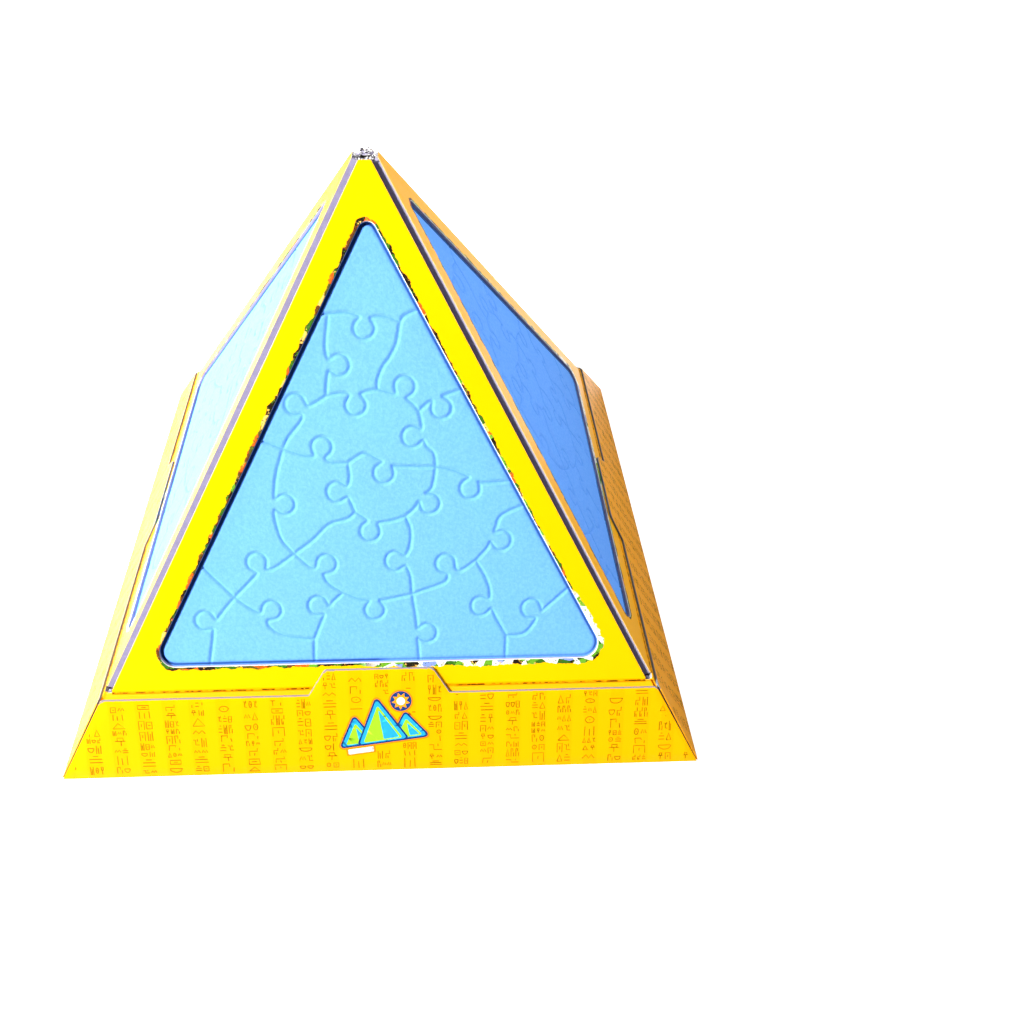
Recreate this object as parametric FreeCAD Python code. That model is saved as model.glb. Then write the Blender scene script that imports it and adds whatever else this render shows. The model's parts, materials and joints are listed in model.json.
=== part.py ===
"""Four-sided pyramid jigsaw case of card and grey board, in millimetres.

Four triangular tray panels lean together over a square base. Each panel is hinged by a
crease to a low inner collar, and a printed skirt flap with a locking tongue folds up over
that crease. +Z is up, the origin is the centre of the underside, and the front faces -Y.

A sloping piece is drawn flat and then stood up on its hinge axis. Flat coordinates are
x along the hinge, u up the slope from the hinge axis, and n outwards from the outer face.
"""

import FreeCAD, Part

import math
import os

# Whole object
BASE_WIDTH = 260.0
SLOPE_DEG = 57.5
SKIRT_HEIGHT = 29.3
CREASE_HEIGHT = 30.6
TIP_WIDTH = 4.5

# Stock thicknesses
FLAP_CARD = 1.0
FLOOR_CARD = 1.0
COLLAR_CARD = 1.2
FLOOR_BOARD = 1.2
FACE_SHEET = 0.2
FRAME_BOARD = 1.2
TRAY_SHEET = 0.6
BACKING_BOARD = 0.8

# Tray window, measured square to each edge of the panel
SIDE_RAIL = 9.6
BOTTOM_RAIL = 10.4
WINDOW_APEX_RADIUS = 3.5
WINDOW_CORNER_RADIUS = 6.0

# Locking tongue of a skirt flap, cut slightly off centre
TONGUE_RISE = 10.7
TONGUE_TOP_WIDTH = 42.8
TONGUE_BASE_WIDTH = 56.2
TONGUE_SHIFT = -1.0
TONGUE_TOP_RADIUS = 1.6
TONGUE_BASE_RADIUS = 1.0

# Clearances
CREASE_RADIUS = 0.3
PANEL_TO_AXIS = 0.45
FLAP_TO_PANEL = 0.1
BEAD_TO_TONGUE = 1.5
PANEL_TO_PANEL = 0.1
COLLAR_TO_COLLAR = 0.05
FLAP_TO_FLAP = 0.15
FLAP_TOP_SLIT = 0.6
FLAP_TO_FLOOR = 0.3
BOARD_TO_COLLAR = 0.08

SIDES = {"front": 0.0, "right": 90.0, "back": 180.0, "left": 270.0}

# Derived sizes
SLOPE = math.radians(SLOPE_DEG)
SIN, COS, TAN = math.sin(SLOPE), math.cos(SLOPE), math.tan(SLOPE)
PANEL_STACK = FACE_SHEET + FRAME_BOARD + TRAY_SHEET + BACKING_BOARD
FLAP_AXIS_OUT = (BASE_WIDTH - FLAP_CARD) / 2
FLAP_AXIS_HEIGHT = FLAP_CARD / 2
FLAP_PLANE_OUT = FLAP_AXIS_OUT + (FLAP_CARD / 2 + FLAP_AXIS_HEIGHT * COS) / SIN
PANEL_PLANE_OUT = FLAP_PLANE_OUT - (FLAP_CARD + FLAP_TO_PANEL) / SIN
CREASE_OUT = PANEL_PLANE_OUT - CREASE_HEIGHT / TAN


def plane_out(height):
    """Distance of the panels' outer plane from the centre line at a height."""
    return PANEL_PLANE_OUT - height / TAN


def panel_half_width(u, stack, gap):
    """Half width of a leaning piece whose square-cut edges meet its neighbours' at the back."""
    return CREASE_OUT - u * COS - stack * SIN - gap


def point(x, u):
    return FreeCAD.Vector(x, u, 0)


def rounded_face(corners, radii):
    """Flat face through the corners, each one rounded to its radius."""
    starts, ends, middles = [], [], []
    count = len(corners)
    for i, corner in enumerate(corners):
        before = (corners[i - 1] - corner).normalize()
        after = (corners[(i + 1) % count] - corner).normalize()
        half_angle = before.getAngle(after) / 2
        reach = radii[i] / math.tan(half_angle)
        bisector = (before + after).normalize()
        starts.append(corner + before * reach)
        ends.append(corner + after * reach)
        middles.append(corner + bisector * (radii[i] / math.sin(half_angle) - radii[i]))
    edges = []
    for i in range(count):
        if radii[i] > 0:
            edges.append(Part.Arc(starts[i], middles[i], ends[i]).toShape())
        edges.append(Part.makeLine(ends[i], starts[(i + 1) % count]))
    return Part.Face(Part.Wire(edges))


def slab(face, outer, thickness):
    """Solid from a flat face, with its outer side at n = outer."""
    solid = face.extrude(FreeCAD.Vector(0, 0, -thickness))
    solid.translate(FreeCAD.Vector(0, 0, outer))
    return solid


def stand_up(solid, axis_out, axis_height, azimuth):
    """Tilt a flat piece to the slope, put it on its hinge axis and turn it to its side."""
    origin = FreeCAD.Vector(0, 0, 0)
    piece = solid.copy()
    piece.rotate(origin, FreeCAD.Vector(1, 0, 0), SLOPE_DEG)
    piece.translate(FreeCAD.Vector(0, -axis_out, axis_height))
    piece.rotate(origin, FreeCAD.Vector(0, 0, 1), azimuth)
    return piece


def panel_outline():
    """Triangle of a panel with its tip cut off square."""
    low = PANEL_TO_AXIS
    half_low = panel_half_width(low, PANEL_STACK, PANEL_TO_PANEL)
    high = low + (half_low - TIP_WIDTH / 2) / COS
    corners = [
        point(-half_low, low),
        point(half_low, low),
        point(TIP_WIDTH / 2, high),
        point(-TIP_WIDTH / 2, high),
    ]
    return rounded_face(corners, [0, 0, 0, 0])


def window_outline():
    """Rounded triangle inside the panel's rails."""
    edge_lean = math.atan(COS)
    inset = SIDE_RAIL / math.cos(edge_lean)
    half_low = panel_half_width(BOTTOM_RAIL, PANEL_STACK, PANEL_TO_PANEL) - inset
    apex = BOTTOM_RAIL + half_low / COS
    corners = [point(-half_low, BOTTOM_RAIL), point(half_low, BOTTOM_RAIL), point(0, apex)]
    radii = [WINDOW_CORNER_RADIUS, WINDOW_CORNER_RADIUS, WINDOW_APEX_RADIUS]
    return rounded_face(corners, radii)


def panel_layers():
    """The four glued layers of one tray panel, from the printed face to the back."""
    whole = panel_outline()
    frame = whole.cut(window_outline())
    layers = [
        ("face_sheet", frame, FACE_SHEET),
        ("frame_board", frame, FRAME_BOARD),
        ("tray_sheet", whole, TRAY_SHEET),
        ("backing_board", whole, BACKING_BOARD),
    ]
    outer = 0.0
    solids = {}
    for name, face, thickness in layers:
        solids[name] = slab(face, outer, thickness)
        outer -= thickness
    return solids


def round_bar(radius, start, end, n):
    """Rod along the hinge axis, for a crease or a rounded card edge."""
    foot = FreeCAD.Vector(start, 0, n)
    return Part.makeCylinder(radius, end - start, foot, FreeCAD.Vector(1, 0, 0))


def collar_strip():
    """Wall of the inner collar, with the crease bead of the panel hinge along its top.

    The bead stops on each side of the locking tongue, which lies flat on the crease.
    """
    low = -(CREASE_HEIGHT - FLOOR_CARD) / SIN - COLLAR_CARD / TAN
    half_top = panel_half_width(0, COLLAR_CARD, COLLAR_TO_COLLAR)
    half_low = panel_half_width(low, COLLAR_CARD, COLLAR_TO_COLLAR)
    corners = [point(-half_low, low), point(half_low, low), point(half_top, 0), point(-half_top, 0)]
    strip = slab(rounded_face(corners, [0, 0, 0, 0]), 0, COLLAR_CARD)
    bead_start = TONGUE_BASE_WIDTH / 2 + abs(TONGUE_SHIFT) + BEAD_TO_TONGUE
    for start, end in ((-half_top, -bead_start), (bead_start, half_top)):
        strip = strip.fuse(round_bar(CREASE_RADIUS, start, end, 0))
    return strip.removeSplitter()


def level_bottom(solid, height):
    """Cut a standing piece off level at a height."""
    size = 2 * BASE_WIDTH
    below = Part.makeBox(size, size, size, FreeCAD.Vector(-size / 2, -size / 2, height - size))
    return solid.cut(below)


def flap_half_width(u):
    """Half width of a skirt flap, u being measured from its own axis in mid card."""
    outer = FLAP_AXIS_OUT + FLAP_CARD / 2 * SIN - u * COS
    return outer - FLAP_CARD * SIN - FLAP_TO_FLAP


def skirt_flap():
    """Sloping skirt wall with its locking tongue and a rounded lower edge."""
    top = (SKIRT_HEIGHT - FLAP_AXIS_HEIGHT - FLAP_CARD / 2 * COS) / SIN
    half_low = flap_half_width(0)
    half_top = flap_half_width(top) - FLAP_TOP_SLIT
    tongue_base = TONGUE_BASE_WIDTH / 2
    tongue_top = TONGUE_TOP_WIDTH / 2
    outline = [
        (half_low, 0, 0),
        (half_top, top, 0),
        (TONGUE_SHIFT + tongue_base, top, TONGUE_BASE_RADIUS),
        (TONGUE_SHIFT + tongue_top, top + TONGUE_RISE, TONGUE_TOP_RADIUS),
        (TONGUE_SHIFT - tongue_top, top + TONGUE_RISE, TONGUE_TOP_RADIUS),
        (TONGUE_SHIFT - tongue_base, top, TONGUE_BASE_RADIUS),
        (-half_top, top, 0),
        (-half_low, 0, 0),
    ]
    corners = [point(x, u) for x, u, radius in outline]
    radii = [radius for x, u, radius in outline]
    wall = slab(rounded_face(corners, radii), FLAP_CARD / 2, FLAP_CARD)
    return wall.fuse(round_bar(FLAP_CARD / 2, -half_low, half_low, 0)).removeSplitter()


def square_sheet(half_size, bottom, thickness):
    corner = FreeCAD.Vector(-half_size, -half_size, bottom)
    return Part.makeBox(2 * half_size, 2 * half_size, thickness, corner)


def floor_card():
    """Printed card floor that the skirt flaps fold up from."""
    inner_plane = FLAP_PLANE_OUT - FLAP_CARD / SIN - FLOOR_CARD / TAN
    return square_sheet(inner_plane - FLAP_TO_FLOOR, 0, FLOOR_CARD)


def floor_board():
    """Grey board inside the collar that keeps it square."""
    top = FLOOR_CARD + FLOOR_BOARD
    inner_plane = plane_out(top) - COLLAR_CARD / SIN
    return square_sheet(inner_plane - BOARD_TO_COLLAR, FLOOR_CARD, FLOOR_BOARD)


def all_pieces():
    pieces = {"floor_card": floor_card(), "floor_board": floor_board()}
    layers = panel_layers()
    collar = collar_strip()
    flap = skirt_flap()
    for side, azimuth in SIDES.items():
        for name, solid in layers.items():
            pieces[f"{side}_{name}"] = stand_up(solid, CREASE_OUT, CREASE_HEIGHT, azimuth)
        standing = stand_up(collar, CREASE_OUT, CREASE_HEIGHT, azimuth)
        pieces[f"{side}_collar_strip"] = level_bottom(standing, FLOOR_CARD)
        pieces[f"{side}_skirt_flap"] = stand_up(flap, FLAP_AXIS_OUT, FLAP_AXIS_HEIGHT, azimuth)
    return pieces


def main():
    os.makedirs("parts", exist_ok=True)
    for name, shape in all_pieces().items():
        shape.exportStep(f"parts/{name}.step")


main()
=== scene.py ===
import json
import math
import random

import bpy
import numpy as np
from mathutils import Matrix, Vector, noise
from mathutils.geometry import delaunay_2d_cdt
from mathutils.kdtree import KDTree


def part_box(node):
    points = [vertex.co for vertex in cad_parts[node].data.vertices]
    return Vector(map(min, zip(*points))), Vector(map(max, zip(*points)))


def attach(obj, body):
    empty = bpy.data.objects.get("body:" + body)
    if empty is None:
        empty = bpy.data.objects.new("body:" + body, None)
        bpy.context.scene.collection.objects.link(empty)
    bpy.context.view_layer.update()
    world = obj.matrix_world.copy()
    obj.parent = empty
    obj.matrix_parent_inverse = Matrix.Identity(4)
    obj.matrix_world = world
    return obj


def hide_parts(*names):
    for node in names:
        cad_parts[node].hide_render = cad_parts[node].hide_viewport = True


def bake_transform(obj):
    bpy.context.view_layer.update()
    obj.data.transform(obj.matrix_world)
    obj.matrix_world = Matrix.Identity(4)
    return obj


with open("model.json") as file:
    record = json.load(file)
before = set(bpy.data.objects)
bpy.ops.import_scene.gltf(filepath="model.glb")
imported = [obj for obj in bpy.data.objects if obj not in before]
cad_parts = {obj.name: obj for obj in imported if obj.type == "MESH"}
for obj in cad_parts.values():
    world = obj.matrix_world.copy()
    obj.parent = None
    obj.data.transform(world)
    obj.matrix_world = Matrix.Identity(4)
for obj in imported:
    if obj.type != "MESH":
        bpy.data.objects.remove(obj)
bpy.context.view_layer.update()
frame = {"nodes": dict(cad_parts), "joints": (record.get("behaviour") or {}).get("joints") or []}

MM = 0.001
SIDES = ("front", "right", "back", "left")

# ---------------------------------------------------------------- sizes, in millimetres
JOINTS = {joint["name"]: joint for joint in frame["joints"]}
# A flap stands at this slope and turns through the rest of a half circle to lie flat.
SLOPE = math.radians(180 - JOINTS["front_flap_hinge"]["range_deg"][1])
SIN, COS = math.sin(SLOPE), math.cos(SLOPE)

FACE_SHEET = 0.2
FRAME_BOARD = 1.2
TRAY_SHEET = 0.6
BACKING_BOARD = 0.8
FLAP_CARD = 1.0

CREASE_HEIGHT = JOINTS["front_panel_hinge"]["pos_m"][2] / MM
PANEL_LOW = 0.45
PANEL_HALF_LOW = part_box("front_backing_board")[1].x / MM
TIP_WIDTH = 4.5
PANEL_HIGH = PANEL_LOW + (PANEL_HALF_LOW - TIP_WIDTH / 2) / COS
SIDE_RAIL = 9.6
BOTTOM_RAIL = 10.4
WINDOW_CORNER_RADIUS = 6.0
WINDOW_APEX_RADIUS = 3.5
# How far the picture runs out onto the side and bottom rails, and by how much it widens the round corners.
ART_SIDE = 1.05
ART_BOTTOM = 1.3
ART_CORNER = 1.2
# How far the pressed part of the tray runs on under the frame.
TRAY_TUCK = 0.8
TIP_FIBRES = 30

TRAY_LEVEL = -FACE_SHEET - FRAME_BOARD
BACKING_LEVEL = TRAY_LEVEL - TRAY_SHEET
GLUE_GAP = 0.01

FLAP_HALF_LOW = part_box("front_skirt_flap")[1].x / MM
FLAP_FOOT = -0.3
FLAP_TOP_SLIT = 0.6
TONGUE_RISE = 10.7
TONGUE_TOP_WIDTH = 42.8
TONGUE_BASE_WIDTH = 56.2
TONGUE_SHIFT = -1.0
FLAP_TONGUE_TOP = (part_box("front_skirt_flap")[1].z / MM - FLAP_CARD * (0.5 + COS)) / SIN
FLAP_TOP = FLAP_TONGUE_TOP - TONGUE_RISE

# Edges, pressed lines and printing. The moat is the pressed line round the tray, inside the window's edge.
EDGE_ROUND = 0.25
GROOVE_DEPTH = 0.54
GROOVE_WIDTH = 0.62
MOAT_DEPTH = 0.5
MOAT_WIDTH = 0.75
MOAT_INSET = 0.6
GLYPH_PITCH = 10.5
GLYPH_COLUMN = 5.6
GLYPH_GAP = 0.5
INK_LAYER = 0.012
INK_SUNK = 0.02
EMBLEM_CENTRE = (-1.0, 20.0)
EMBLEM_TURN = math.radians(7)


# ---------------------------------------------------------------- flat outlines
def rounded(corners, radii, step):
    """Closed outline through the corners, rounded to these radii, with a point every step or less."""
    corners = [Vector(corner) for corner in corners]
    outline = []
    for i, corner in enumerate(corners):
        before = (corners[i - 1] - corner).normalized()
        after = (corners[(i + 1) % len(corners)] - corner).normalized()
        if radii[i] == 0:
            outline.append(corner)
            continue
        half_angle = before.angle(after) / 2
        reach = radii[i] / math.tan(half_angle)
        start, end = corner + before * reach, corner + after * reach
        centre = corner + (before + after).normalized() * (radii[i] / math.sin(half_angle))
        arm = start - centre
        turn = arm.angle_signed(end - centre)
        count = max(3, math.ceil(abs(turn) * radii[i] / step))
        for k in range(count + 1):
            angle = -turn * k / count
            cos, sin = math.cos(angle), math.sin(angle)
            outline.append(centre + Vector((arm.x * cos - arm.y * sin, arm.x * sin + arm.y * cos)))
    return resample(np.array([tuple(p) for p in outline]), step)


def sides_of(outline):
    """Start and end of every straight side of a closed outline."""
    return zip(outline, np.roll(outline, -1, axis=0))


def unit(rows):
    """Each row scaled to length 1."""
    return rows / np.maximum(np.hypot(*rows.T), 1e-9)[:, None]


def resample(outline, step):
    """The same closed outline with its long edges cut into steps."""
    points = []
    for a, b in sides_of(outline):
        length = float(np.hypot(*(b - a)))
        if length < 1e-6:
            continue
        count = max(1, math.ceil(length / step))
        points += [a + (b - a) * k / count for k in range(count)]
    return np.array(points)


def bare(outline):
    """The outline without the points along its straight runs."""
    before = outline - np.roll(outline, 1, axis=0)
    after = np.roll(outline, -1, axis=0) - outline
    bend = before[:, 0] * after[:, 1] - before[:, 1] * after[:, 0]
    return outline[np.abs(bend) > 1e-5]


def inside(points, outline):
    """True for each point inside a closed outline."""
    outline = bare(outline)
    x, y = points[:, 0], points[:, 1]
    odd = np.zeros(len(points), bool)
    for a, b in sides_of(outline):
        if a[1] == b[1]:
            continue
        crosses = (a[1] > y) != (b[1] > y)
        odd ^= crosses & (x < a[0] + (y - a[1]) * (b[0] - a[0]) / (b[1] - a[1]))
    return odd


def distance(points, outline):
    """Distance of each point to a closed outline."""
    outline = bare(outline)
    best = np.full(len(points), np.inf)
    for a, b in sides_of(outline):
        along = b - a
        share = np.clip(((points - a) @ along) / max(float(along @ along), 1e-12), 0, 1)
        gap = points - a - share[:, None] * along
        best = np.minimum(best, np.einsum("ij,ij->i", gap, gap))
    return np.sqrt(best)


def signed_distance(points, outline):
    """Distance to an outline, negative inside it."""
    return np.where(inside(points, outline), -1, 1) * distance(points, outline)


def hexagon_grid(outline, spacing):
    """Points in a triangular grid over an outline's box."""
    low, high = outline.min(0), outline.max(0)
    rows = np.arange(low[1], high[1], spacing * math.sqrt(0.75))
    points = []
    for k, y in enumerate(rows):
        x = np.arange(low[0] + (k % 2) * spacing / 2, high[0], spacing)
        points.append(np.column_stack([x, np.full(len(x), y)]))
    return np.concatenate(points)


def panel_outline(step, inset=0.0):
    """Outline of a panel, seen square on, with the hinge along its lower side."""
    half = PANEL_HALF_LOW - inset
    tip = TIP_WIDTH / 2 - inset
    corners = [(-half, PANEL_LOW), (half, PANEL_LOW), (tip, PANEL_HIGH), (-tip, PANEL_HIGH)]
    return rounded(corners, [0.5, 0.5, 0.4, 0.4], step)


def window_outline(step, side=SIDE_RAIL, bottom=BOTTOM_RAIL, grow=0.0):
    """Rounded triangle at a distance from the panel's sides and hinge line."""
    inset = side * math.sqrt(1 + COS * COS)
    half = PANEL_HALF_LOW - (bottom - PANEL_LOW) * COS - inset
    corners = [(-half, bottom), (half, bottom), (0, bottom + half / COS)]
    corner, apex = WINDOW_CORNER_RADIUS + grow, WINDOW_APEX_RADIUS + grow
    return rounded(corners, [corner, corner, apex], step)


def flap_outline(step):
    """Outline of a skirt flap with its tongue, measured up from the fold at the floor."""
    half_top = FLAP_HALF_LOW - FLAP_TOP * COS - FLAP_TOP_SLIT
    tongue_base, tongue_top = TONGUE_BASE_WIDTH / 2, TONGUE_TOP_WIDTH / 2
    corners = [
        (FLAP_HALF_LOW, FLAP_FOOT),
        (half_top, FLAP_TOP),
        (TONGUE_SHIFT + tongue_base, FLAP_TOP),
        (TONGUE_SHIFT + tongue_top, FLAP_TONGUE_TOP),
        (TONGUE_SHIFT - tongue_top, FLAP_TONGUE_TOP),
        (TONGUE_SHIFT - tongue_base, FLAP_TOP),
        (-half_top, FLAP_TOP),
        (-FLAP_HALF_LOW, FLAP_FOOT),
    ]
    return rounded(corners, [0.3, 0.6, 0.8, 1.6, 1.6, 0.8, 0.6, 0.3], step)


# ---------------------------------------------------------------- solids from outlines
def hinge_frame(joint_name):
    """Matrix from a leaning piece's own flat millimetres to its place in metres."""
    joint = JOINTS[joint_name]
    axis = Vector(joint["axis"])
    outward = Vector((axis.y, -axis.x, 0))
    up_slope = Vector((0, 0, SIN)) - outward * COS
    normal = outward * SIN + Vector((0, 0, COS))
    turn = Matrix((axis, up_slope, normal)).transposed().to_4x4()
    turn.translation = joint["pos_m"]
    return turn @ Matrix.Scale(MM, 4)


def round_over(edge, radius):
    """How far a surface drops within a radius of its edge."""
    near = np.clip(radius - edge, 0, radius)
    return radius - np.sqrt(radius * radius - near * near)


def triangulate(outlines, rims, spacing):
    """Points and triangles of the region inside the first outline and outside the others.

    Rims add rows of points at these distances inside every edge, and spacing adds a grid.
    """
    fence, edges = [], []
    for outline in outlines:
        first = len(fence)
        fence += outline.tolist()
        edges += [(first + k, first + (k + 1) % len(outline)) for k in range(len(outline))]
    extra = []
    for outline in outlines:
        tangent = unit(np.roll(outline, -1, axis=0) - np.roll(outline, 1, axis=0))
        normal = np.column_stack([-tangent[:, 1], tangent[:, 0]])
        for rim in rims:
            extra += [outline + normal * rim, outline - normal * rim]
    if spacing:
        grid = hexagon_grid(outlines[0], spacing)
        clear = max(rims, default=0.05) + spacing * 0.4
        extra.append(grid[distance_to_all(grid, outlines) > clear])
    if extra:
        extra = np.concatenate(extra)
        extra = extra[in_region(extra, outlines)]
        if rims:
            extra = extra[distance_to_all(extra, outlines) > rims[0] * 0.6]
        fence += extra.tolist()
    points, _, triangles, *_ = delaunay_2d_cdt([Vector(p) for p in fence], edges, [], 1, 1e-4, False)
    points = np.array([tuple(p) for p in points])
    triangles = np.array(triangles)
    triangles = triangles[in_region(points[triangles].mean(1), outlines)]
    a, b, c = (points[triangles[:, k]] for k in range(3))
    turn = (b - a)[:, 0] * (c - a)[:, 1] - (b - a)[:, 1] * (c - a)[:, 0]
    triangles[turn < 0] = triangles[turn < 0][:, ::-1]
    used, triangles = np.unique(triangles, return_inverse=True)
    return points[used], triangles.reshape(-1, 3)


def in_region(points, outlines):
    kept = inside(points, outlines[0])
    for outline in outlines[1:]:
        kept &= ~inside(points, outline)
    return kept


def distance_to_all(points, outlines):
    return np.min([distance(points, outline) for outline in outlines], axis=0)


def border_loops(triangles):
    """Directed edges that only one triangle uses."""
    edges = np.concatenate([triangles[:, [0, 1]], triangles[:, [1, 2]], triangles[:, [2, 0]]])
    forward = set(map(tuple, edges.tolist()))
    return np.array([(a, b) for a, b in forward if (b, a) not in forward])


SHARP_ANGLE = math.radians(50)


def heights(surface, points, edge):
    """Heights of a surface given as a number, or as a function of points and their edge distances."""
    return surface(points, edge) if callable(surface) else np.full(len(points), surface)


def plate(name, outlines, top, bottom, rims=(), spacing=0.0, wall_rows=1, rough=0.0, seed=0):
    """Closed sheet between two surfaces.

    Its faces carry material slot 0 on top, 1 on the cut edge and 2 underneath.
    """
    points, triangles = triangulate(outlines, rims, spacing)
    edge = distance_to_all(points, outlines)
    upper, lower = heights(top, points, edge), heights(bottom, points, edge)
    count = len(points)
    border = border_loops(triangles)
    order = np.unique(border)
    place = np.full(count, -1)
    place[order] = np.arange(len(order))
    rows = [order]
    vertices = [np.column_stack([points, upper]), np.column_stack([points, lower])]
    start = 2 * count
    outward = border_normals(points, border, order)
    for row in range(1, wall_rows):
        share = row / wall_rows
        height = upper[order] * (1 - share) + lower[order] * share
        ring = np.column_stack([points[order], height])
        if rough:
            wobble = [noise.noise(Vector((p[0], p[1], seed + row * 0.9)) * 1.7) for p in ring]
            ring[:, :2] += outward * (np.array(wobble) * rough)[:, None]
        vertices.append(ring)
        rows.append(start + np.arange(len(order)))
        start += len(order)
    rows.append(order + count)
    walls = []
    for above, below in zip(rows, rows[1:]):
        a, b = place[border[:, 0]], place[border[:, 1]]
        walls.append(np.column_stack([above[a], below[a], below[b], above[b]]))
    walls = np.concatenate(walls)
    faces = triangles.tolist() + walls.tolist() + (triangles[:, ::-1] + count).tolist()
    slots = np.repeat([0, 1, 2], [len(triangles), len(walls), len(triangles)])
    mesh = new_mesh(name, np.concatenate(vertices).tolist(), faces)
    mesh.polygons.foreach_set("material_index", slots.astype(np.int32))
    mesh.shade_smooth()
    mesh.set_sharp_from_angle(angle=SHARP_ANGLE)
    return mesh


def border_normals(points, border, order):
    """Outward direction at each border point, in the order given."""
    total = np.zeros((len(points), 2))
    along = unit(points[border[:, 1]] - points[border[:, 0]])
    side = np.column_stack([along[:, 1], -along[:, 0]])
    for k in (0, 1):
        np.add.at(total, border[:, k], side)
    return unit(total)[order]


def new_mesh(name, vertices, faces):
    mesh = bpy.data.meshes.new(name)
    mesh.from_pydata(vertices, [], faces)
    return mesh


def mesh_points(mesh):
    """Places of a mesh's vertices, one row each."""
    flat = np.zeros(len(mesh.vertices) * 3)
    mesh.vertices.foreach_get("co", flat)
    return flat.reshape(-1, 3)


def give(mesh, name, values):
    """Store a number per vertex for a material to read."""
    attribute = mesh.attributes.new(name, "FLOAT", "POINT")
    attribute.data.foreach_set("value", np.asarray(values, np.float32))


def add_object(name, data):
    made = bpy.data.objects.new(name, data)
    bpy.context.scene.collection.objects.link(made)
    return made


def place_piece(name, mesh, matrix, body, materials, replaced=()):
    """Turn a flat mesh into a piece in its place, riding on a body."""
    mesh.transform(matrix)
    piece = add_object(name, mesh)
    for material in materials:
        mesh.materials.append(material)
    if replaced:
        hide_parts(*replaced)
    if body:
        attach(piece, body)
    return piece


# ---------------------------------------------------------------- materials
class Nodes:
    """Short names for building one material's node tree."""

    def __init__(self, name):
        self.material = bpy.data.materials.new(name)
        self.material.use_nodes = True
        self.tree = self.material.node_tree
        self.tree.nodes.clear()
        self.shader = self.node("BsdfPrincipled")
        self.link(self.shader.outputs[0], self.node("OutputMaterial").inputs["Surface"])
        self.place = self.node("TexCoord").outputs["Object"]

    def node(self, kind):
        return self.tree.nodes.new(f"ShaderNode{kind}")

    def link(self, source, socket):
        self.tree.links.new(source, socket)

    def feed(self, socket, value):
        """Connect a node output, or set a plain number or colour."""
        if isinstance(value, bpy.types.NodeSocket):
            self.link(value, socket)
        elif isinstance(value, tuple):
            socket.default_value = (*value, 1.0)
        else:
            socket.default_value = value

    def number(self, name):
        """A number stored per vertex."""
        node = self.node("Attribute")
        node.attribute_name = name
        return node.outputs["Fac"]

    def math(self, operation, *values):
        node = self.node("Math")
        node.operation = operation
        for socket, value in zip(node.inputs, values):
            self.feed(socket, value)
        return node.outputs[0]

    def vector_math(self, operation, *vectors):
        """A number worked out from vectors."""
        node = self.node("VectorMath")
        node.operation = operation
        for socket, vector in zip(node.inputs, vectors):
            self.link(vector, socket)
        return node.outputs["Value"]

    def noise(self, size, detail=3.0, roughness=0.5, distortion=0.0):
        """Noise from 0 to 1 whose blobs are about this many millimetres across."""
        node = self.node("TexNoise")
        node.inputs["Scale"].default_value = 1 / (size * MM)
        node.inputs["Detail"].default_value = detail
        node.inputs["Roughness"].default_value = roughness
        node.inputs["Distortion"].default_value = distortion
        self.link(self.place, node.inputs["Vector"])
        return node.outputs["Fac"]

    def cell_pick(self, size):
        """One random number from 0 to 1 for each cell of this many millimetres."""
        node = self.node("TexVoronoi")
        node.inputs["Scale"].default_value = 1 / (size * MM)
        self.link(self.place, node.inputs["Vector"])
        parts = self.node("SeparateColor")
        self.link(node.outputs["Color"], parts.inputs["Color"])
        return parts.outputs["Red"]

    def choose(self, pick, colours):
        """One of these colours, evenly shared out, by a number from 0 to 1."""
        node = self.node("ValToRGB")
        node.color_ramp.interpolation = "CONSTANT"
        points = node.color_ramp.elements
        while len(points) < len(colours):
            points.new(0.5)
        for k, (point, colour) in enumerate(zip(points, colours)):
            point.position = k / len(colours)
            point.color = (*colour, 1.0)
        self.link(pick, node.inputs["Fac"])
        return node.outputs["Color"]

    def step(self, value, low, high):
        """0 up to low, 1 from high on, and smooth between; low may also be the larger of the two."""
        node = self.node("MapRange")
        node.interpolation_type = "SMOOTHSTEP"
        self.link(value, node.inputs["Value"])
        node.inputs["From Min"].default_value = low
        node.inputs["From Max"].default_value = high
        return node.outputs["Result"]

    def mix(self, share, first, second):
        node = self.node("Mix")
        node.data_type = "RGBA"
        self.feed(node.inputs["Factor"], share)
        self.feed(node.inputs["A"], first)
        self.feed(node.inputs["B"], second)
        return node.outputs["Result"]

    def stain(self, tone, share, strength, colour):
        """The tone with a colour mixed in by a share, at this strength."""
        return self.mix(self.math("MULTIPLY", share, strength), tone, colour)

    def seen_directly(self):
        """1 where the camera looks straight at the surface, 0 in bounced light."""
        return self.node("LightPath").outputs["Is Camera Ray"]

    def bump(self, height, depth_mm):
        """Bend the shading normal by a height from 0 to 1, this many millimetres deep."""
        node = self.node("Bump")
        node.inputs["Strength"].default_value = 1.0
        node.inputs["Distance"].default_value = depth_mm * MM
        self.feed(node.inputs["Height"], height)
        self.link(node.outputs["Normal"], self.shader.inputs["Normal"])

    def finish(self, colour, roughness, specular, tint=(1.0, 1.0, 1.0), coat=0.0):
        surface = {
            "Base Color": colour, "Roughness": roughness, "Specular IOR Level": specular,
            "Specular Tint": tint, "Coat Weight": coat, "Coat Roughness": 0.2,
        }
        for name, value in surface.items():
            self.feed(self.shader.inputs[name], value)
        return self.material


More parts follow.
